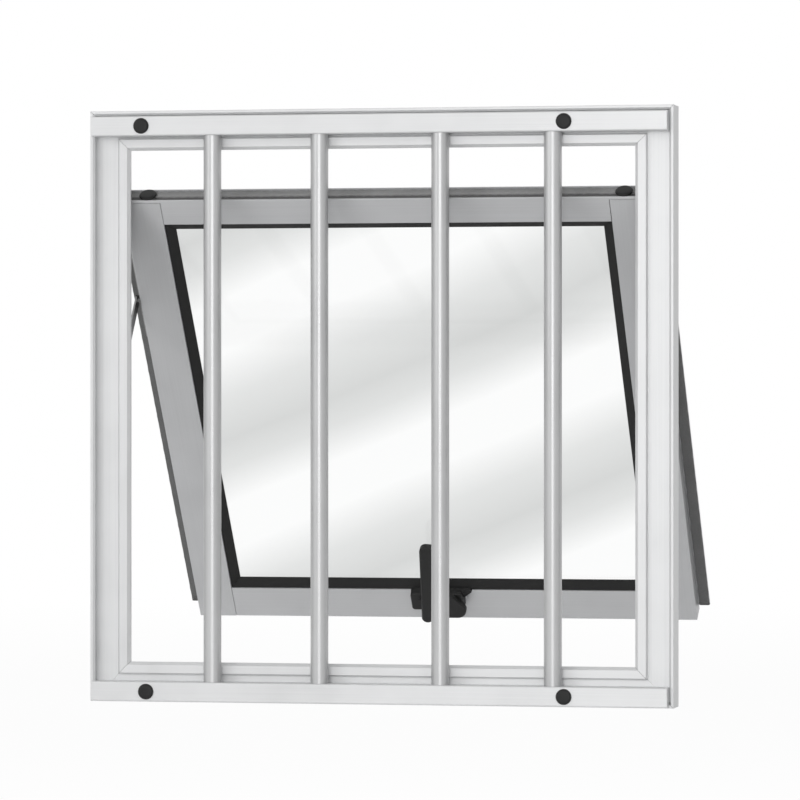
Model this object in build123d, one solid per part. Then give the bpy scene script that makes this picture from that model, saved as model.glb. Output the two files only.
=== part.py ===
import os
from math import asin, cos, degrees, radians, sin, sqrt

from build123d import *

os.makedirs("parts", exist_ok=True)

# Top-projecting aluminium window with a bar grille, seen from the room along +Y.
# X runs right, Y runs outdoors, Z runs up. The origin is the middle of the sill's underside.
# A section is drawn with u, the distance in from the outer edge, and v, the depth from the room face.

# Frame
frame_width = 600.0
frame_height = 600.0
frame_depth = 32.0
frame_wall = 1.5
lip_width = 4.6
lip_bevel = 2.0
lip_edge = 1.0
face_width = 40.0
upstand_width = 12.5
upstand_front = 6.0
floor_front = 11.0
box_width = 18.0
mitre_gap = 0.3
edge_radius = 0.6
upstand_bevel = 3.0
upstand_outer_bevel = 1.5

# Weather seal in the back of the upstand
seal_clearance = 0.2
seal_bulb = 2.7

# Grille
rail_height = 20.0
bottom_rail_inset = 1.0
rail_wall = 1.3
rail_return = 5.0
rail_lip_clearance = 1.4
rail_end_clearance = 0.2
rail_edge_radius = 1.5
bar_diameter = 18.0
bar_wall = 1.2
bar_front_clearance = 0.2
bar_back_clearance = 0.5
bar_shares = (-0.285, -0.1, 0.107, 0.298)
bar_clearance = 0.15
cap_diameter = 16.0
cap_height = 3.0
cap_bevel = 1.2
top_cap_from_left = 57.0
bottom_cap_from_left = 62.0
cap_from_right = 108.5

# Sash
stay_gap = 10.0
sash_top_drop = 30.0
sash_bottom_lift = 23.0
sash_thickness = 20.0
sash_wall = 1.4
sash_setback = 15.5
stile_face = 40.0
top_rail_face = 30.0
bottom_rail_face = 38.0
stile_lap = 12.0
bottom_rail_lap = 4.0
lap_end_cut = 6.0
top_groove_depth = 7.0
top_strip_height = 3.0
sash_edge_radius = 0.6
pocket_depth = 12.0
pocket_drop = 5.0
outer_leg_short = 2.0
sash_joint_gap = 0.5

# Glass and its gaskets
glass_thickness = 4.0
glass_setback = 8.0
glass_bite = 7.0
gasket_show = 10.0
gasket_heel = 5.0
gasket_clearance = 0.3
gasket_toe = 1.2
gasket_rise = 6.5
outer_gasket_thickness = 1.5
outer_gasket_show = 2.0

# Buttons on the sash's top edge
button_diameter = 18.0
button_height = 2.0
button_from_side = 26.0

# Stays: a shoe slides in the jamb's track, and an arm from the track carries the sash
opening_angle = 37.0
stay_pivot_depth = 10.0
stay_sash_reach = 132.0
stay_arm_length = 126.0
track_width = 12.0
track_height = 2.5
track_wall = 1.2
track_flange = 2.6
track_below_pivot = 25.0
track_above_shoe = 9.0
shoe_length = 18.0
shoe_clearance = 0.15
strip_width = 11.0
arm_thickness = 1.8
bracket_thickness = 2.3
bracket_past_pivot = 40.0
stay_layer_gap = 0.1
pivot_diameter = 5.0
pivot_head_diameter = 8.0
pivot_clearance = 0.1

# Latch on the sash's bottom rail
latch_above_edge = 3.5
latch_body_width = 58.0
latch_body_height = 24.0
latch_body_thickness = 10.0
latch_body_radius = 4.0
latch_body_offset = -5.0
latch_taper = 5.0
latch_bevel = 1.0
latch_ear_reach = 9.0
latch_ear_drop = 8.5
latch_ear_radius = 1.5
latch_ear_thickness = 5.0
lever_offset = -14.5
lever_lean = 7.4
lever_length = 104.0
lever_top_width = 19.0
lever_corner_diameter = 14.0
lever_foot_width = 12.0
lever_thickness = 7.0
lever_foot_below = 12.0
lever_boss_diameter = 20.0
lever_bevel = 1.5
tongue_offset = 10.5
tongue_root_diameter = 16.0
tongue_nose_diameter = 20.0
tongue_nose_lean = 6.0
tongue_heel_diameter = 16.0
tongue_heel_lean = -8.0
tongue_below = 5.5
tongue_thickness = 6.0

floor_back = floor_front + frame_wall
inner_bevel = upstand_bevel - frame_wall * (2 - sqrt(2))
rail_proud = rail_wall + bar_front_clearance + bar_diameter + bar_back_clearance - upstand_front
beside_lip = lip_width + rail_lip_clearance
sash_width = frame_width - 2 * (box_width + stay_gap)
sash_height = frame_height - sash_top_drop - sash_bottom_lift
sash_top = frame_height - sash_top_drop
channel_depth = top_groove_depth + sash_wall


def depth(v):
    return v - frame_depth / 2


def save(shape, name):
    export_step(shape, f"parts/{name}.step")


def loop(points):
    return make_face(Polyline(*points, close=True))


def box_face(low, high):
    return loop([low, (high[0], low[1]), high, (low[0], high[1])])


def rounded(section, corners):
    # Rounds the listed corners of a section, each given as a point and a radius.
    for point, radius in corners:
        corner = section.vertices().sort_by_distance(point)[0]
        section = fillet(corner, radius)
    return section


def bar(section, length):
    # Section points are (depth, distance in), carried along X.
    return extrude(Plane.YZ * section, amount=length / 2, both=True)


def mitred(section, length, width, gap):
    # Cuts both ends at 45 degrees, half the gap short of the corner's diagonal.
    half = length / 2 - gap / sqrt(2)
    corner = [(-half, 0), (half, 0), (half - width, width), (width - half, width)]
    wedge = extrude(Plane.XZ * loop(corner), amount=frame_width, both=True)
    return bar(section, length) & wedge


def ring_places(width, height, low):
    # Turns a bar made with its outer edge down into the four sides of a ring.
    return {
        "bottom": Pos(0, 0, low),
        "top": Pos(0, 0, low + height) * Rot(0, 180, 0),
        "left": Pos(-width / 2, 0, low + height / 2) * Rot(0, 90, 0),
        "right": Pos(width / 2, 0, low + height / 2) * Rot(0, -90, 0),
    }


# Frame: lip, channel floor and open-backed upstand towards the opening, hollow box behind.
def frame_section():
    upstand = face_width - upstand_width
    turn = frame_wall * (sqrt(2) - 1)
    outline = [
        (0, 0),
        (0, lip_width - lip_bevel),
        (lip_bevel, lip_width),
        (lip_bevel + lip_edge, lip_width),
        (lip_bevel + lip_edge, lip_width - frame_wall),
        (lip_bevel + turn, lip_width - frame_wall),
        (frame_wall, lip_width - lip_bevel - turn),
        (frame_wall, frame_wall),
        (floor_front, frame_wall),
        (floor_front, upstand),
        (upstand_front + upstand_outer_bevel, upstand),
        (upstand_front, upstand + upstand_outer_bevel),
        (upstand_front, face_width - upstand_bevel),
        (upstand_front + upstand_bevel, face_width),
        (floor_back, face_width),
        (floor_back, face_width - frame_wall),
        (upstand_front + frame_wall + inner_bevel, face_width - frame_wall),
        (upstand_front + frame_wall, face_width - frame_wall - inner_bevel),
        (upstand_front + frame_wall, upstand + frame_wall),
        (floor_back, upstand + frame_wall),
        (floor_back, box_width),
        (frame_depth, box_width),
        (frame_depth, 0),
    ]
    corners = [((0, 0), edge_radius)]
    hollow = box_face((floor_back, frame_wall), (frame_depth - frame_wall, box_width - frame_wall))
    return Pos(-frame_depth / 2, 0) * (rounded(loop(outline), corners) - hollow)


def make_frame():
    places = ring_places(frame_width, frame_height, 0)
    names = {"bottom": "frame_sill", "top": "frame_head"}
    names |= {"left": "frame_left_jamb", "right": "frame_right_jamb"}
    for side, name in names.items():
        length = frame_width if side in ("bottom", "top") else frame_height
        save(places[side] * mitred(frame_section(), length, face_width, mitre_gap), name)


def rectangle_ring(width, height, band, low, middle):
    # Flat ring about the vertical mid-line, from its lower to its upper depth.
    outer = Rectangle(width, height)
    inner = Rectangle(width - 2 * band, height - 2 * band)
    face = Plane.XZ.offset(-depth(low[0])) * Pos(0, middle) * (outer - inner)
    return extrude(face, amount=low[0] - low[1])


def make_weather_seal():
    edge = face_width - upstand_width + frame_wall + seal_clearance
    band = upstand_width - 2 * (frame_wall + seal_clearance)
    width = frame_width - 2 * edge
    height = frame_height - 2 * edge
    reach = (upstand_front + frame_wall + inner_bevel, floor_back + seal_bulb)
    seal = rectangle_ring(width, height, band, reach, frame_height / 2)
    rim = seal.faces().sort_by(Axis.Y)[-1].edges()
    save(fillet(rim, band / 3), "weather_seal")


# Grille: two rails that sit in the frame's channel, tubes between them, black caps on their screws.
def bar_places():
    return [share * frame_width for share in bar_shares]


def bar_depth():
    return depth(rail_wall + bar_front_clearance + bar_diameter / 2 - rail_proud)


def channel_leg(low):
    # Outer leg that stands on the channel floor, with a short return.
    inside = floor_front - rail_wall
    turn = low + rail_return
    return [(floor_front, low), (floor_front, turn), (inside, turn), (inside, low + rail_wall)]


def lip_leg(low):
    # Outer leg that stops on the face of the lip.
    return [(0, low), (0, low + rail_wall)]


def make_rail(low, outer_leg):
    # Channel open at the back, closed by a plate at each end.
    front = -rail_proud
    high = low + rail_height
    inside = floor_front - rail_wall
    outline = [
        (front, low),
        *outer_leg(low),
        (front + rail_wall, low + rail_wall),
        (front + rail_wall, high - rail_wall),
        (inside, high - rail_wall),
        (inside, high - rail_return),
        (floor_front, high - rail_return),
        (floor_front, high),
        (front, high),
    ]
    corners = [((front, low), rail_edge_radius), ((front, high), rail_edge_radius)]
    length = frame_width - 2 * (lip_width + rail_end_clearance)
    rail = bar(Pos(-frame_depth / 2, 0) * rounded(loop(outline), corners), length)
    cover = box_face((front, low), (0, high)) + box_face((0, beside_lip), (floor_front, high))
    end = bar(Pos(-frame_depth / 2, 0) * rounded(cover, corners), rail_wall)
    reach = (length - rail_wall) / 2
    return rail + Pos(-reach, 0, 0) * end + Pos(reach, 0, 0) * end


def disc(diameter, height, bevel):
    blank = Cylinder(diameter / 2, height, align=(Align.CENTER, Align.CENTER, Align.MIN))
    return chamfer(blank.edges().group_by(Axis.Z)[-1], bevel)


def make_grille():
    places = ring_places(frame_width, frame_height, 0)
    rows = {
        "bottom": (bottom_rail_inset, lip_leg, bottom_cap_from_left),
        "top": (beside_lip, channel_leg, top_cap_from_left),
    }
    bore = Cylinder(bar_diameter / 2 + bar_clearance, 3 * rail_wall)
    for row, (inset, leg, cap_from_left) in rows.items():
        middle = inset + rail_height / 2
        web = inset + rail_height - rail_wall / 2
        z, web = (middle, web) if row == "bottom" else (frame_height - middle, frame_height - web)
        bores = [Pos(x, bar_depth(), web) * bore for x in bar_places()]
        save(places[row] * make_rail(inset, leg) - bores, f"grille_{row}_rail")
        columns = (("left", cap_from_left - frame_width / 2), ("right", frame_width / 2 - cap_from_right))
        for column, x in columns:
            place = Pos(x, depth(-rail_proud), z) * Rot(90, 0, 0)
            save(place * disc(cap_diameter, cap_height, cap_bevel), f"{row}_{column}_screw_cap")
    length = frame_height - 2 * beside_lip - rail_wall
    tube = Cylinder(bar_diameter / 2, length) - Cylinder(bar_diameter / 2 - bar_wall, length)
    for number, x in enumerate(bar_places(), 1):
        save(Pos(x, bar_depth(), beside_lip + length / 2) * tube, f"grille_bar_{number}")


# Sash: pieces are drawn shut, then carried by this move to the open pose that the stays give.
def arm_angle():
    return degrees(asin(stay_sash_reach * sin(radians(opening_angle)) / stay_arm_length))


def stay_slide():
    shut = stay_sash_reach + stay_arm_length
    reach = stay_sash_reach * cos(radians(opening_angle))
    return shut - reach - stay_arm_length * cos(radians(arm_angle()))


def pivot_depth():
    return depth(sash_setback + stay_pivot_depth)


def open_sash():
    turn = Pos(0, pivot_depth(), sash_top) * Rot(opening_angle, 0, 0)
    return Pos(0, 0, -stay_slide()) * turn * Pos(0, -pivot_depth(), -sash_top)


def sash_section(face, lap, groove=0):
    # Inside face with a drop lip, glass pocket, hollow box, and a lap along the outer edge.
    # A groove, where there is one, opens the outer edge between its two walls.
    hollow_end = face - pocket_depth
    leg = glass_setback + glass_thickness + outer_gasket_thickness
    lip = face - sash_wall
    outside = sash_thickness - sash_wall
    rim = [(sash_thickness, -lap), (outside, -lap), (outside, 0)] if lap else [(sash_thickness, 0)]
    outline = [
        (0, 0),
        (0, face),
        (pocket_drop, face),
        (pocket_drop, lip),
        (sash_wall, lip),
        (sash_wall, hollow_end),
        (leg, hollow_end),
        (leg, face - outer_leg_short),
        (leg + sash_wall, face - outer_leg_short),
        (leg + sash_wall, hollow_end),
        (sash_thickness, hollow_end),
        *rim,
    ]
    corners = [((0, 0), sash_edge_radius), ((0, face), sash_edge_radius)]
    section = rounded(loop(outline), corners)
    section -= box_face((sash_wall, groove + sash_wall), (outside, hollow_end - sash_wall))
    if groove:
        section -= box_face((sash_wall, 0), (outside, groove))
    return Pos(depth(sash_setback), 0) * section


def top_corner(front, low, high):
    # Block at the sash's right top corner, from the rail's shoulder outwards.
    start = sash_width / 2 - stile_face - sash_joint_gap
    size = (stile_face + sash_joint_gap + stile_lap, sash_thickness, high - low)
    return Pos(start, depth(sash_setback + front), low) * Box(*size, align=Align.MIN)


def make_sash():
    # The rail's top channel runs on over the stiles, whose ends are cut to pass under it.
    place = open_sash()
    sides = ring_places(sash_width, sash_height, sash_bottom_lift)
    floor = sash_top - channel_depth
    strip_foot = sash_top - top_strip_height
    tongue = top_corner(0, floor, strip_foot) - top_corner(sash_wall + sash_joint_gap, floor, strip_foot)
    shoulder = top_corner(0, floor - top_rail_face, floor) + tongue
    top = sides["top"] * bar(sash_section(top_rail_face, 0, top_groove_depth), sash_width)
    save(place * (top - shoulder - mirror(shoulder, about=Plane.YZ)), "sash_top_rail")
    span = sash_width - 2 * (stile_face + sash_joint_gap)
    bottom = bar(sash_section(bottom_rail_face, bottom_rail_lap), span)
    save(place * sides["bottom"] * bottom, "sash_bottom_rail")
    stile = sides["right"] * bar(sash_section(stile_face, stile_lap), sash_height)
    stile -= top_corner(sash_wall, floor - sash_joint_gap, sash_top)
    stile -= top_corner(0, strip_foot - sash_joint_gap, sash_top)
    lap_end = Box(stile_lap, sash_thickness, lap_end_cut, align=Align.MIN)
    stile -= Pos(sash_width / 2, depth(sash_setback), sash_bottom_lift) * lap_end
    save(place * stile, "sash_right_stile")
    save(place * mirror(stile, about=Plane.YZ), "sash_left_stile")
    across = sash_width / 2 - button_from_side
    for side, x in (("left", -across), ("right", across)):
        seat = Pos(x, depth(sash_setback) + sash_thickness / 2, sash_top)
        button = Cylinder(button_diameter / 2, button_height, align=(Align.CENTER, Align.CENTER, Align.MIN))
        save(place * seat * button, f"sash_{side}_button")


# Glass: the pane stands in the sash's pocket between a wedge gasket and a flat one.
def daylight():
    width = sash_width - 2 * stile_face
    height = sash_height - top_rail_face - bottom_rail_face
    return width, height, sash_bottom_lift + bottom_rail_face


def make_glazing():
    place = open_sash()
    width, height, low = daylight()
    middle = low + height / 2
    face = sash_setback + glass_setback
    pane = Box(width + 2 * glass_bite, glass_thickness, height + 2 * glass_bite)
    save(place * Pos(0, depth(face) + glass_thickness / 2, middle) * pane, "glass_pane")
    wedge = [
        (glass_setback, 0),
        (glass_setback, gasket_heel + gasket_show),
        (glass_setback - gasket_toe, gasket_heel + gasket_show),
        (glass_setback - gasket_rise, gasket_heel + gasket_clearance),
        (pocket_drop + gasket_clearance, gasket_heel + gasket_clearance),
        (pocket_drop + gasket_clearance, 0),
    ]
    section = Pos(depth(sash_setback), 0) * loop(wedge)
    around = width + 2 * gasket_heel
    upright = height + 2 * gasket_heel
    for side, seat in ring_places(around, upright, low - gasket_heel).items():
        length = around if side in ("bottom", "top") else upright
        strip = mitred(section, length, gasket_heel + gasket_show, mitre_gap)
        save(place * seat * strip, f"{side}_glass_gasket")
    band = gasket_heel + outer_gasket_show
    back = face + glass_thickness
    reach = (back, back + outer_gasket_thickness)
    ring = rectangle_ring(around, upright, band, reach, middle)
    save(place * ring, "outer_glass_gasket")


# Stays: each is drawn on the right side and mirrored for the left.
def strip(length, thickness):
    # Flat bar with round ends, hanging down from its first pivot at the origin.
    blank = SlotCenterToCenter(length, strip_width)
    return extrude(Plane.YZ * Pos(0, -length / 2) * Rot(0, 0, 90) * blank, amount=thickness)


def pin(diameter, length):
    return Rot(0, 90, 0) * Cylinder(diameter / 2, length, align=(Align.CENTER, Align.CENTER, Align.MIN))


def stay_pieces():
    wall_face = frame_width / 2 - box_width
    arm_face = wall_face - track_height - stay_layer_gap - arm_thickness
    sash_face = sash_width / 2
    pivot = pivot_depth()
    fixed = sash_top - stay_sash_reach - stay_arm_length
    shoe_at = sash_top - stay_slide()
    hole = pin(pivot_diameter + 2 * pivot_clearance, frame_width / 2)

    low = fixed - track_below_pivot
    high = sash_top + track_above_shoe
    half = track_width / 2
    section = loop(
        [
            (0, -half),
            (0, half),
            (-track_height, half),
            (-track_height, half - track_flange),
            (track_wall - track_height, half - track_flange),
            (track_wall - track_height, half - track_wall),
            (-track_wall, half - track_wall),
            (-track_wall, track_wall - half),
            (track_wall - track_height, track_wall - half),
            (track_wall - track_height, track_flange - half),
            (-track_height, track_flange - half),
            (-track_height, -half),
        ]
    )
    track = Pos(wall_face, pivot, low) * extrude(section, amount=high - low)
    stud_end = arm_face - stay_layer_gap - track_wall
    base = wall_face - track_wall
    track += Pos(stud_end + track_wall, pivot, fixed) * pin(pivot_diameter, base - stud_end - track_wall)
    track += Pos(stud_end, pivot, fixed) * pin(pivot_head_diameter, track_wall)

    room = track_width - 2 * (track_flange + shoe_clearance)
    block = Box(track_height - track_wall, room, shoe_length)
    shoe = Pos(base - (track_height - track_wall) / 2, pivot, shoe_at) * block
    bracket_face = sash_face + bracket_thickness
    shoulder = bracket_face + stay_layer_gap
    shoe += Pos(shoulder, pivot, shoe_at) * pin(pivot_head_diameter, wall_face - track_height - shoulder)
    shoe += Pos(sash_face, pivot, shoe_at) * pin(pivot_diameter, bracket_thickness + stay_layer_gap)

    lean = Pos(arm_face, pivot, fixed) * Rot(180 - arm_angle(), 0, 0)
    arm = lean * strip(stay_arm_length, arm_thickness)
    arm -= Pos(0, pivot, fixed) * hole
    tip = lean * Pos(0, 0, -stay_arm_length)
    arm += tip * Pos(sash_face - arm_face, 0, 0) * pin(pivot_diameter, arm_face - sash_face)

    bracket = strip(stay_sash_reach + bracket_past_pivot, bracket_thickness)
    bracket -= hole
    bracket -= Pos(0, 0, -stay_sash_reach) * hole
    bracket = open_sash() * Pos(sash_face, pivot, sash_top) * bracket
    return {"track": track, "shoe": shoe, "arm": arm, "bracket": bracket}


def make_stays():
    for name, piece in stay_pieces().items():
        save(piece, f"right_stay_{name}")
        save(mirror(piece, about=Plane.YZ), f"left_stay_{name}")


# Latch: a tapered base with an ear on the bottom rail, a lever and a hooked tongue for the sill.
def round_hull(*circles):
    # Outline drawn tight round circles, each given as x, y and diameter.
    return make_hull([edge for x, y, size in circles for edge in (Pos(x, y) * Circle(size / 2)).edges()])


def bevelled(outline, low, thickness, bevel):
    block = extrude(Pos(0, 0, low) * outline, amount=thickness)
    return chamfer(block.faces().sort_by(Axis.Z)[-1].edges(), bevel)


def make_latch():
    place = open_sash() * Pos(0, depth(sash_setback), sash_bottom_lift) * Rot(90, 0, 0)
    top = bottom_rail_face + latch_above_edge
    foot = top - latch_body_height
    body = RectangleRounded(latch_body_width, latch_body_height, latch_body_radius)
    body = Pos(latch_body_offset, top - latch_body_height / 2) * body
    base = extrude(body, amount=latch_body_thickness, taper=latch_taper)
    base = chamfer(base.faces().sort_by(Axis.Z)[-1].edges(), latch_bevel)
    side = latch_body_offset + latch_body_width / 2
    round_off = 2 * latch_ear_radius
    ear = round_hull(
        (latch_body_offset, top - latch_ear_radius, round_off),
        (side + latch_ear_reach - latch_ear_radius, top - latch_ear_radius, round_off),
        (side - latch_ear_radius, top - latch_ear_drop, round_off),
        (latch_body_offset, top - latch_ear_drop, round_off),
    )
    base += extrude(ear, amount=latch_ear_thickness)
    save(place * base, "latch_base")

    middle = foot + latch_body_height / 2
    low = foot - lever_foot_below - middle
    high = low + lever_length
    corner = (lever_top_width - lever_corner_diameter) / 2
    shoulder = high - lever_corner_diameter / 2
    grip = round_hull(
        (-corner, shoulder, lever_corner_diameter),
        (corner, shoulder, lever_corner_diameter),
        (0, low + lever_foot_width / 2, lever_foot_width),
    )
    lever = bevelled(grip, latch_body_thickness, lever_thickness, lever_bevel)
    boss = Pos(0, 0, latch_body_thickness) * Circle(lever_boss_diameter / 2)
    lever += extrude(boss, amount=lever_thickness / 2)
    save(place * Pos(lever_offset, middle) * Rot(0, 0, -lever_lean) * lever, "latch_lever")

    root = top - tongue_root_diameter / 2 - latch_bevel
    end = foot - tongue_below
    nose = (tongue_offset + tongue_nose_lean, end + tongue_nose_diameter / 2)
    heel = (tongue_offset + tongue_heel_lean, end + tongue_heel_diameter / 2)
    hook = round_hull(
        (tongue_offset, root, tongue_root_diameter),
        (*nose, tongue_nose_diameter),
        (*heel, tongue_heel_diameter),
    )
    save(place * bevelled(hook, latch_body_thickness, tongue_thickness, latch_bevel), "latch_tongue")


make_frame()
make_weather_seal()
make_grille()
make_sash()
make_glazing()
make_stays()
make_latch()
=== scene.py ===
import math

import bpy
import numpy as np
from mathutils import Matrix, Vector


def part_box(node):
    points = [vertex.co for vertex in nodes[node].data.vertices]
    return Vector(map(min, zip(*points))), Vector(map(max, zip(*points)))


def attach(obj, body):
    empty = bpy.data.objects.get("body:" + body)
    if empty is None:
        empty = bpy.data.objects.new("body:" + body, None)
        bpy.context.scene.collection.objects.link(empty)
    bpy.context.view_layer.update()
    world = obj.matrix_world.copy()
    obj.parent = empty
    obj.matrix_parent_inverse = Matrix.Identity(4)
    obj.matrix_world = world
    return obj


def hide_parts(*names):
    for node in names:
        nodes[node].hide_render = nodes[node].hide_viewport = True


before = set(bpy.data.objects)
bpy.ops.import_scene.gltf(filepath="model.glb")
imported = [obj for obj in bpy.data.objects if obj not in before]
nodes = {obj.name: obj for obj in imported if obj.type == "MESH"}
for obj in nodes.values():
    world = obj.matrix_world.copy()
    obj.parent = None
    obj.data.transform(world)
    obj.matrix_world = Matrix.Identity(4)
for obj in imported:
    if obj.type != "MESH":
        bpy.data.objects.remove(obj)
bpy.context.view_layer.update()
print("frame loaded,", len(nodes), "nodes")

scene = bpy.context.scene
scene.view_settings.view_transform = "Standard"
sashTurn = math.radians(37.0)  # the sash leans out by this much, so its stiles' grain does too
quarterTurn = math.radians(90.0)

# Turns that bring a pattern's x onto the run of a piece
alongX = (0, 0, 0)
alongZ = (0, quarterTurn, 0)
downSash = (quarterTurn - sashTurn, 0, quarterTurn)
withPane = (-sashTurn, 0, 0)


# Node steps that the materials share

noiseLow, noiseMiddle, noiseHigh = 0.3, 0.5, 0.7  # almost all of a noise's values lie in this span


def startMaterial(name):
    # New material, with its node tree and the shader in it
    material = bpy.data.materials.new(name)
    material.use_nodes = True
    tree = material.node_tree
    shader = tree.nodes["Principled BSDF"]
    return material, tree, shader


def placePattern(tree, turn, stretch=(1, 1, 1)):
    # Object coordinates, turned so that x runs along the piece, then stretched
    spot = tree.nodes.new("ShaderNodeTexCoord")
    turned = tree.nodes.new("ShaderNodeMapping")
    turned.inputs["Rotation"].default_value = turn
    scaled = tree.nodes.new("ShaderNodeMapping")
    scaled.inputs["Scale"].default_value = stretch
    tree.links.new(spot.outputs["Object"], turned.inputs["Vector"])
    tree.links.new(turned.outputs["Vector"], scaled.inputs["Vector"])
    return scaled.outputs["Vector"]


def noiseValue(tree, vector, scale, detail, rough=0.55):
    # Sum of noises, each at twice the scale of the one before and weaker by rough
    noise = tree.nodes.new("ShaderNodeTexNoise")
    noise.inputs["Scale"].default_value = scale
    noise.inputs["Detail"].default_value = detail
    noise.inputs["Roughness"].default_value = rough
    tree.links.new(vector, noise.inputs["Vector"])
    return noise.outputs["Fac"]


def rampColour(tree, value, stops):
    # Colour that changes in straight lines from stop to stop
    ramp = tree.nodes.new("ShaderNodeValToRGB")
    first, last = ramp.color_ramp.elements
    first.position, last.position = stops[0][0], stops[-1][0]
    first.color, last.color = (*stops[0][1], 1), (*stops[-1][1], 1)
    for place, colour in stops[1:-1]:
        ramp.color_ramp.elements.new(place).color = (*colour, 1)
    tree.links.new(value, ramp.inputs["Fac"])
    return ramp.outputs["Color"]


def fromTo(tree, value, span, result):
    # Straight-line change of a value from one span to another, held at both ends
    step = tree.nodes.new("ShaderNodeMapRange")
    step.inputs["From Min"].default_value, step.inputs["From Max"].default_value = span
    step.inputs["To Min"].default_value, step.inputs["To Max"].default_value = result
    tree.links.new(value, step.inputs["Value"])
    return step.outputs["Result"]


def blendValues(tree, first, second, share):
    # The second value times the share, and the first times what is left of one
    mixed = tree.nodes.new("ShaderNodeMix")
    mixed.inputs["Factor"].default_value = share
    tree.links.new(first, mixed.inputs["A"])
    tree.links.new(second, mixed.inputs["B"])
    return mixed.outputs["Result"]


def bumpFrom(tree, value, strength, distance):
    # Normal that leans with the slope of a value, taken as a height
    bump = tree.nodes.new("ShaderNodeBump")
    bump.inputs["Strength"].default_value = strength
    bump.inputs["Distance"].default_value = distance
    tree.links.new(value, bump.inputs["Height"])
    return bump.outputs["Normal"]


def mathNode(tree, operation, first, second):
    # One step of arithmetic between two outputs, or an output and a number
    step = tree.nodes.new("ShaderNodeMath")
    step.operation = operation
    for socket, value in zip(step.inputs, (first, second)):
        if isinstance(value, (int, float)):
            socket.default_value = value
        else:
            tree.links.new(value, socket)
    return step.outputs[0]


def grey(value):
    # As much red as green and blue
    return (value, value, value)


# Materials

def linkPatterns(tree, shader, look, both, fine, tones):
    # The blended noise sets tone and roughness, the fine one sets the bump
    tree.links.new(rampColour(tree, both, tones), shader.inputs["Base Color"])
    rough = fromTo(tree, both, (noiseLow, noiseHigh), (look["gloss"], look["dull"]))
    tree.links.new(rough, shader.inputs["Roughness"])
    tree.links.new(bumpFrom(tree, fine, look["bump"], look["bumpDepth"]), shader.inputs["Normal"])


def drawnMetal(name, look, turn):
    # Drawn metal: fine die lines along the run, and slow clouds in tone and gloss
    material, tree, shader = startMaterial(name)
    along = placePattern(tree, turn, look["lineStretch"])
    lines = noiseValue(tree, along, look["lineScale"], look["lineDetail"], look["lineRough"])
    clouds = noiseValue(tree, placePattern(tree, turn), look["cloudScale"], look["cloudDetail"])
    both = blendValues(tree, clouds, lines, look["lineShare"])
    tones = [(noiseLow, look["dark"]), (noiseMiddle, look["middle"]), (noiseHigh, look["light"])]
    linkPatterns(tree, shader, look, both, lines, tones)
    shader.inputs["Metallic"].default_value = look["metallic"]
    return material


silverLook = {
    "lineStretch": (4, 700, 700), "lineScale": 1.0, "lineDetail": 4.0, "lineRough": 0.6, "lineShare": 0.4,
    "cloudScale": 14.0, "cloudDetail": 2.0,
    "dark": (0.72, 0.725, 0.73), "middle": (0.78, 0.785, 0.79), "light": (0.82, 0.825, 0.83),
    "gloss": 0.34, "dull": 0.46, "bump": 0.08, "bumpDepth": 0.0002, "metallic": 0.3,
}
# Round tubes: the aluminium made darker, as painted shade for the tubes' sides; their bright middle is the
# lamps' highlight
shadedTubeLook = dict(
    silverLook, dark=(0.48, 0.483, 0.486), middle=(0.52, 0.523, 0.526), light=(0.55, 0.553, 0.556),
    metallic=0.65, gloss=0.36, dull=0.44,
)
# Sash aluminium: the frame's finish made darker, as painted shade for the sash's down-facing faces
shadedSashLook = dict(
    silverLook, dark=(0.57, 0.575, 0.585), middle=(0.61, 0.615, 0.625), light=(0.64, 0.645, 0.655),
)
steelLook = dict(
    silverLook, dark=grey(0.25), middle=grey(0.31), light=grey(0.36),
    metallic=1.0, gloss=0.25, dull=0.4, bump=0.15,
)


def darkMoulding(name, look):
    # Moulded or painted black: fine grain in the bump, slow clouds in gloss, a little dust in the tone
    material, tree, shader = startMaterial(name)
    plain = placePattern(tree, alongX)
    grain = noiseValue(tree, plain, look["grainScale"], look["grainDetail"])
    clouds = noiseValue(tree, plain, look["cloudScale"], look["cloudDetail"])
    both = blendValues(tree, clouds, grain, look["grainShare"])
    linkPatterns(tree, shader, look, both, grain, [(noiseLow, look["dark"]), (noiseHigh, look["light"])])
    shader.inputs["Specular IOR Level"].default_value = look["shine"]
    return material


rubberLook = {
    "grainScale": 900.0, "grainDetail": 2.0, "grainShare": 0.5, "cloudScale": 25.0, "cloudDetail": 3.0,
    "dark": grey(0.012), "light": grey(0.024),
    "gloss": 0.5, "dull": 0.7, "bump": 0.25, "bumpDepth": 0.0003, "shine": 0.25,
}
plasticLook = dict(rubberLook, grainScale=1400.0, gloss=0.38, dull=0.5, bump=0.12)
latchLook = dict(rubberLook, grainScale=1100.0, gloss=0.4, dull=0.55, bump=0.15)
nylonLook = dict(rubberLook, dark=grey(0.05), light=grey(0.08), gloss=0.4, dull=0.55)
# Lap strips: dark rubber, made darker as painted shade for the sash's laps
lapShadeStripLook = dict(rubberLook, dark=grey(0.17), light=grey(0.25), gloss=0.6, dull=0.8)
# Pile seals, dark as painted shade inside the sash's top channel: the front one darker for the shaded
# channel floor, the back one lighter for the lit back wall
backPileShadeLook = dict(lapShadeStripLook, dark=grey(0.28), light=grey(0.42), grainScale=1500.0, bump=0.5)
frontPileShadeLook = dict(backPileShadeLook, dark=grey(0.12), light=grey(0.2))


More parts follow.
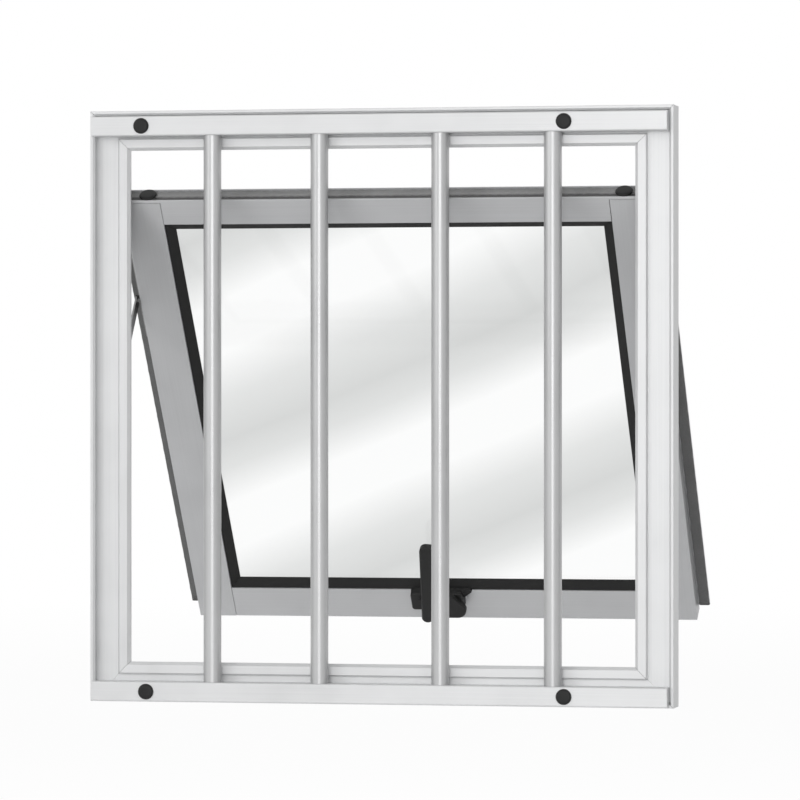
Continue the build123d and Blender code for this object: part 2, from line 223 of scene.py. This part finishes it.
def clearGlass(name, look):
    # Clear float glass with painted reflection: wide soft bands across it, lying along a slant
    material, tree, shader = startMaterial(name)
    vector = placePattern(tree, withPane)
    slant = tree.nodes.new("ShaderNodeMapping")
    slant.inputs["Rotation"].default_value = (0, look["slant"], 0)
    slant.inputs["Location"].default_value = (0, 0, look["shift"])
    wave = tree.nodes.new("ShaderNodeTexWave")
    wave.bands_direction = "Z"
    wave.wave_profile = "SAW"
    wave.inputs["Scale"].default_value = look["bandScale"]
    wave.inputs["Distortion"].default_value = look["sway"]
    wave.inputs["Detail Scale"].default_value = look["swayScale"]
    tree.links.new(vector, slant.inputs["Vector"])
    tree.links.new(slant.outputs["Vector"], wave.inputs["Vector"])
    tree.links.new(rampColour(tree, wave.outputs["Fac"], look["tones"]), shader.inputs["Base Color"])
    shader.inputs["Roughness"].default_value = look["rough"]
    shader.inputs["IOR"].default_value = look["ior"]
    shader.inputs["Transmission Weight"].default_value = 1.0
    return material


paintedReflectionGlassLook = {
    "slant": math.radians(26.6), "shift": 0.048, "bandScale": 1.396, "sway": 0.6, "swayScale": 1.5,
    "tones": [
        (0.0, (0.67, 0.68, 0.675)), (0.22, (0.77, 0.78, 0.775)), (0.44, (0.97, 0.975, 0.973)),
        (0.68, (0.97, 0.975, 0.973)), (0.86, (0.75, 0.76, 0.755)), (1.0, (0.67, 0.68, 0.675)),
    ],
    "rough": 0.01, "ior": 1.3,
}

finishes = {
    "frameAcross": drawnMetal("frame_aluminium_across", silverLook, alongX),
    "frameUpright": drawnMetal("frame_aluminium_upright", silverLook, alongZ),
    "railMetal": drawnMetal("grille_rail_aluminium", silverLook, alongX),
    "tubeMetal": drawnMetal("grille_tube_aluminium", shadedTubeLook, alongZ),
    "sashAcross": drawnMetal("sash_aluminium_across", shadedSashLook, alongX),
    "sashUpright": drawnMetal("sash_aluminium_upright", shadedSashLook, downSash),
    "staySteel": drawnMetal("stay_steel", steelLook, alongZ),
    "stayNylon": darkMoulding("stay_nylon", nylonLook),
    "blackRubber": darkMoulding("black_rubber", rubberLook),
    "blackPlastic": darkMoulding("black_plastic", plasticLook),
    "latchBlack": darkMoulding("latch_black", latchLook),
    "lapShadeStrip": darkMoulding("lap_strip_rubber_and_shade", lapShadeStripLook),
    "backPile": darkMoulding("back_pile_seal", backPileShadeLook),
    "frontPile": darkMoulding("front_pile_seal", frontPileShadeLook),
    "paneGlass": clearGlass("clear_glass", paintedReflectionGlassLook),
}

# Start and end of a node's name, and its finish
finishRows = [
    ("frame_", "_jamb", "frameUpright"),
    ("frame_", "", "frameAcross"),
    ("grille_bar", "", "tubeMetal"),
    ("grille_", "_rail", "railMetal"),
    ("sash_", "_stile", "sashUpright"),
    ("sash_", "_rail", "sashAcross"),
    ("sash_", "_button", "blackPlastic"),
    ("", "_screw_cap", "blackPlastic"),
    ("latch_", "", "latchBlack"),
    ("", "_stay_shoe", "stayNylon"),
    ("left_stay_", "", "staySteel"),
    ("right_stay_", "", "staySteel"),
    ("glass_pane", "", "paneGlass"),
    ("", "", "blackRubber"),
]


def finishFor(name):
    # Finish in the first row whose start and end both fit the name
    return next(finish for start, end, finish in finishRows if name.startswith(start) and name.endswith(end))


for name, node in nodes.items():
    node.data.materials.clear()
    node.data.materials.append(finishes[finishFor(name)])
nodes["glass_pane"].visible_shadow = False  # daylight goes through the pane
print("materials on every node")


# Pieces added to the solids

def addPiece(name, points, faces):
    # Object with a mesh of these points and faces
    mesh = bpy.data.meshes.new(name)
    mesh.from_pydata(points.tolist(), [], faces)
    piece = bpy.data.objects.new(name, mesh)
    scene.collection.objects.link(piece)
    return piece


def ringMesh(name, rings):
    # Joins a run of closed rings with quads, and closes each end with a fan to its middle point
    runs, around = rings.shape[:2]
    index = np.arange(runs * around).reshape(runs, around)
    after = np.roll(index, -1, 1)
    quads = np.stack([index[:-1], after[:-1], after[1:], index[1:]], -1).reshape(-1, 4)
    startPoint = np.full(around, runs * around)
    endPoint = startPoint + 1
    startFan = np.stack([startPoint, after[0], index[0]], -1)
    endFan = np.stack([endPoint, index[-1], after[-1]], -1)
    points = np.concatenate([rings.reshape(-1, 3), rings[:1].mean(1), rings[-1:].mean(1)])
    piece = addPiece(name, points, quads.tolist() + startFan.tolist() + endFan.tolist())
    piece.data.shade_smooth()
    return piece


def dress(piece, finish):
    # Gives a piece its material and its body
    piece.data.materials.append(finishes[finish])
    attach(piece, "root")


def domeRings(base, axis, radius, height, look):
    # Rings round an axis that is square to x:
    # the radius falls with a power of the cosine, and the height rises with one of the sine
    turn = np.linspace(0, math.pi / 2, look["steps"])[:-1]
    reach = radius * np.cos(turn) ** look["reachPower"]
    lift = height * np.sin(turn) ** look["liftPower"]
    angle = np.linspace(0, 2 * math.pi, look["around"], endpoint=False)
    across = np.array([1.0, 0, 0])
    upright = np.cross(axis, across)
    spokes = np.cos(angle)[:, None] * across + np.sin(angle)[:, None] * upright
    return base + lift[:, None, None] * axis + reach[:, None, None] * spokes


def domeOver(name, rings):
    # Black dome that takes the place of a node's plain solid
    dome = ringMesh(f"{name}_dome", rings)
    dress(dome, "blackPlastic")
    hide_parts(name)


towardRoom = np.array([0, -1.0, 0])
capLook = {"steps": 14, "around": 48, "reachPower": 0.3, "liftPower": 0.9}
for row in ("top", "bottom"):
    for column in ("left", "right"):
        name = f"{row}_{column}_screw_cap"
        low, high = (np.array(corner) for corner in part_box(name))
        base = np.array([(low[0] + high[0]) / 2, high[1], (low[2] + high[2]) / 2])
        domeOver(name, domeRings(base, towardRoom, (high[0] - low[0]) / 2, high[1] - low[1], capLook))

sashUp = np.array([0, -math.sin(sashTurn), math.cos(sashTurn)])
buttonLook = {"steps": 12, "around": 48, "reachPower": 0.25, "liftPower": 0.8, "height": 0.002}
for side in ("left", "right"):
    name = f"sash_{side}_button"
    low, high = (np.array(corner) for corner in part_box(name))
    base = (low + high) / 2 - sashUp * buttonLook["height"] / 2
    domeOver(name, domeRings(base, sashUp, (high[0] - low[0]) / 2, buttonLook["height"], buttonLook))
print("domed caps and buttons made")


def openSash(points, pose):
    # Turns points drawn on the shut sash about its top pivot line, then lowers them by the stays' slide
    turned = points.copy()
    deep = points[..., 1] - pose["pivotDepth"]
    tall = points[..., 2] - pose["pivotHeight"]
    dropped = pose["pivotHeight"] - pose["slide"]
    turned[..., 1] = pose["pivotDepth"] + deep * math.cos(sashTurn) - tall * math.sin(sashTurn)
    turned[..., 2] = dropped + deep * math.sin(sashTurn) + tall * math.cos(sashTurn)
    return turned


def squareRing(look):
    # Closed ring between a circle and a square: signed powers of the cosine and the sine
    angle = np.linspace(0, 2 * math.pi, look["around"], endpoint=False)
    wide, tall = np.cos(angle), np.sin(angle)
    return np.sign(wide) * np.abs(wide) ** look["power"], np.sign(tall) * np.abs(tall) ** look["power"]


def swayAlong(look, start, end):
    # Stations on a straight run, and a slight swell at each that follows the sine of its distance
    along = np.linspace(start, end, look["stations"])[:, None]
    return along, look["sway"] * np.sin(2 * math.pi * along / look["swayLength"])


def stackRings(across, deep, tall):
    # Points of every ring, each coordinate spread over the stations and around
    return np.stack(np.broadcast_arrays(across, deep, tall), -1)


sashPose = {"pivotDepth": 0.0095, "pivotHeight": 0.570, "slide": 0.05478}
# Dark strips on the room face of each lap: a rubber weather strip, and painted shade where the laps lie in
# shade
lapLook = {
    "across": 0.2782, "deep": 0.0172, "from": 0.0295, "to": 0.540, "halfWidth": 0.0054, "halfThick": 0.0009,
    "stations": 60, "around": 24, "power": 0.5, "sway": 0.00025, "swayLength": 0.021,
}
for side, sign in (("left", -1), ("right", 1)):
    along, sway = swayAlong(lapLook, lapLook["from"], lapLook["to"])
    wide, thick = squareRing(lapLook)
    across = sign * lapLook["across"] + (lapLook["halfWidth"] + sway) * wide
    rings = stackRings(across, lapLook["deep"] + lapLook["halfThick"] * thick, along)
    dress(ringMesh(f"{side}_lap_strip", openSash(rings, sashPose)), "lapShadeStrip")

# Two pile seals in the sash's top channel, a real seal and painted shade: the front row darker for the
# channel's shaded floor, the back row lighter
sealLook = {
    "reach": 0.2712, "halfWidth": 0.0041,
    "stations": 220, "around": 32, "power": 0.4, "sway": 0.0003, "swayLength": 0.009,
    "rows": {
        "front": {"deep": 0.0053, "high": 0.5653, "halfHeight": 0.0021},
        "back": {"deep": 0.0137, "high": 0.5661, "halfHeight": 0.0029},
    },
}
for row, place in sealLook["rows"].items():
    along, sway = swayAlong(sealLook, -sealLook["reach"], sealLook["reach"])
    wide, tall = squareRing(sealLook)
    deep = place["deep"] + sealLook["halfWidth"] * wide
    rings = stackRings(along, deep, place["high"] + (place["halfHeight"] + sway) * tall)
    dress(ringMesh(f"{row}_pile_seal", openSash(rings, sashPose)), f"{row}Pile")
print("lap strips and pile seals made")


# Floor, world, lamps

def gridMesh(name, points):
    # Joins an (n, m) grid of points with quads, in the order of its two parameters
    rows, columns = points.shape[:2]
    index = np.arange(rows * columns).reshape(rows, columns)
    quads = np.stack([index[:-1, :-1], index[1:, :-1], index[1:, 1:], index[:-1, 1:]], -1)
    return addPiece(name, points.reshape(-1, 3), quads.reshape(-1, 4).tolist())


def straightRays(tree):
    # One for a ray from the camera, off metal or through glass, which sees the white studio
    path = tree.nodes.new("ShaderNodeLightPath")
    mirrored = mathNode(tree, "MAXIMUM", path.outputs["Is Glossy Ray"], path.outputs["Is Transmission Ray"])
    return mathNode(tree, "MAXIMUM", path.outputs["Is Camera Ray"], mirrored)


def mixWhite(tree, share, lit, white, output):
    # The white shader by its share, and the lit one for the rest
    mixed = tree.nodes.new("ShaderNodeMixShader")
    tree.links.new(share, mixed.inputs["Fac"])
    tree.links.new(lit, mixed.inputs[1])
    tree.links.new(white, mixed.inputs[2])
    tree.links.new(mixed.outputs["Shader"], tree.nodes[output].inputs["Surface"])


floorLook = {
    "half": 30.0, "points": 3, "colour": grey(0.86), "rough": 0.9, "below": 0.0005,
    "whiteFrom": (0.5, 2.5), "whiteShare": (0.96, 1.0),
}


def makeFloor(look):
    # Flat grid in x and y just under the sill; straight rays see it fade to white away from the window
    side = np.linspace(-look["half"], look["half"], look["points"])
    across, along = np.meshgrid(side, side, indexing="ij")
    floor = gridMesh("studio_floor", np.stack([across, along, np.full_like(across, -look["below"])], -1))
    material, tree, shader = startMaterial("studio_floor")
    shader.inputs["Base Color"].default_value = (*look["colour"], 1)
    shader.inputs["Roughness"].default_value = look["rough"]
    white = tree.nodes.new("ShaderNodeEmission")
    spot = tree.nodes.new("ShaderNodeTexCoord")
    reach = tree.nodes.new("ShaderNodeVectorMath")
    reach.operation = "LENGTH"
    tree.links.new(spot.outputs["Object"], reach.inputs[0])
    fade = fromTo(tree, reach.outputs["Value"], look["whiteFrom"], look["whiteShare"])
    share = mathNode(tree, "MULTIPLY", straightRays(tree), fade)
    mixWhite(tree, share, shader.outputs["BSDF"], white.outputs["Emission"], "Material Output")
    floor.data.materials.append(material)


makeFloor(floorLook)

# Each side's axis, its direction on that axis and its strength
worldLook = {"left": ("X", -1, 0.25), "room": ("Y", -1, 0.76), "outdoors": ("Y", 1, 0.5)}


def makeWorld(look):
    # Each side's light falls off with the cosine of the angle away from it, and the sides add up;
    # straight rays see white all round
    world = bpy.data.worlds.new("studio_world")
    world.use_nodes = True
    scene.world = world
    tree = world.node_tree
    room = tree.nodes["Background"]
    spot = tree.nodes.new("ShaderNodeTexCoord")
    way = tree.nodes.new("ShaderNodeSeparateXYZ")
    tree.links.new(spot.outputs["Generated"], way.inputs["Vector"])
    total = 0.0
    for axis, sign, strength in look.values():
        side = mathNode(tree, "MAXIMUM", mathNode(tree, "MULTIPLY", way.outputs[axis], sign * strength), 0.0)
        total = mathNode(tree, "ADD", side, total)
    tree.links.new(total, room.inputs["Color"])
    white = tree.nodes.new("ShaderNodeBackground")
    white.inputs["Color"].default_value = (1, 1, 1, 1)
    straight = straightRays(tree)
    mixWhite(tree, straight, room.outputs["Background"], white.outputs["Background"], "World Output")


makeWorld(worldLook)

lampAim = Vector((0, 0, 0.3))
lampSet = {
    "left_window": {"spot": (-2.6, -3.0, 1.4), "size": 1.2, "power": 18},
    "low_sheet": {"spot": (0.6, -4.5, 0.55), "size": 1.4, "power": 40},
}
for name, lamp in lampSet.items():
    light = bpy.data.lights.new(name, "AREA")
    light.size = lamp["size"]
    light.energy = lamp["power"]
    holder = bpy.data.objects.new(name, light)
    holder.location = lamp["spot"]
    holder.rotation_euler = (lampAim - Vector(lamp["spot"])).to_track_quat("-Z", "Y").to_euler()
    scene.collection.objects.link(holder)
print("floor, world and lamps in place")


# Camera

cameraLook = {
    "azimuth": 12.14, "elevation": 0.15, "distance": 5.0, "lens": 223.4, "sensor": 36.0, "farthest": 200.0,
    "target": (0, -0.008, 0.3), "right": 0.0201, "up": 0.0064,
}


def makeCamera(look):
    # Stands off the target along the viewing angle, and aims a little right of it and above
    turn, lift = math.radians(look["azimuth"]), math.radians(look["elevation"])
    target = Vector(look["target"])
    back = Vector((math.sin(turn) * math.cos(lift), -math.cos(turn) * math.cos(lift), math.sin(lift)))
    aim = target + Vector((math.cos(turn), math.sin(turn), 0)) * look["right"] + Vector((0, 0, look["up"]))
    data = bpy.data.cameras.new("camera")
    data.lens = look["lens"]
    data.sensor_width = look["sensor"]
    data.clip_end = look["farthest"]
    camera = bpy.data.objects.new("camera", data)
    camera.location = target + back * look["distance"]
    camera.rotation_euler = (aim - camera.location).to_track_quat("-Z", "Y").to_euler()
    scene.collection.objects.link(camera)
    scene.camera = camera


makeCamera(cameraLook)
print("camera in place")
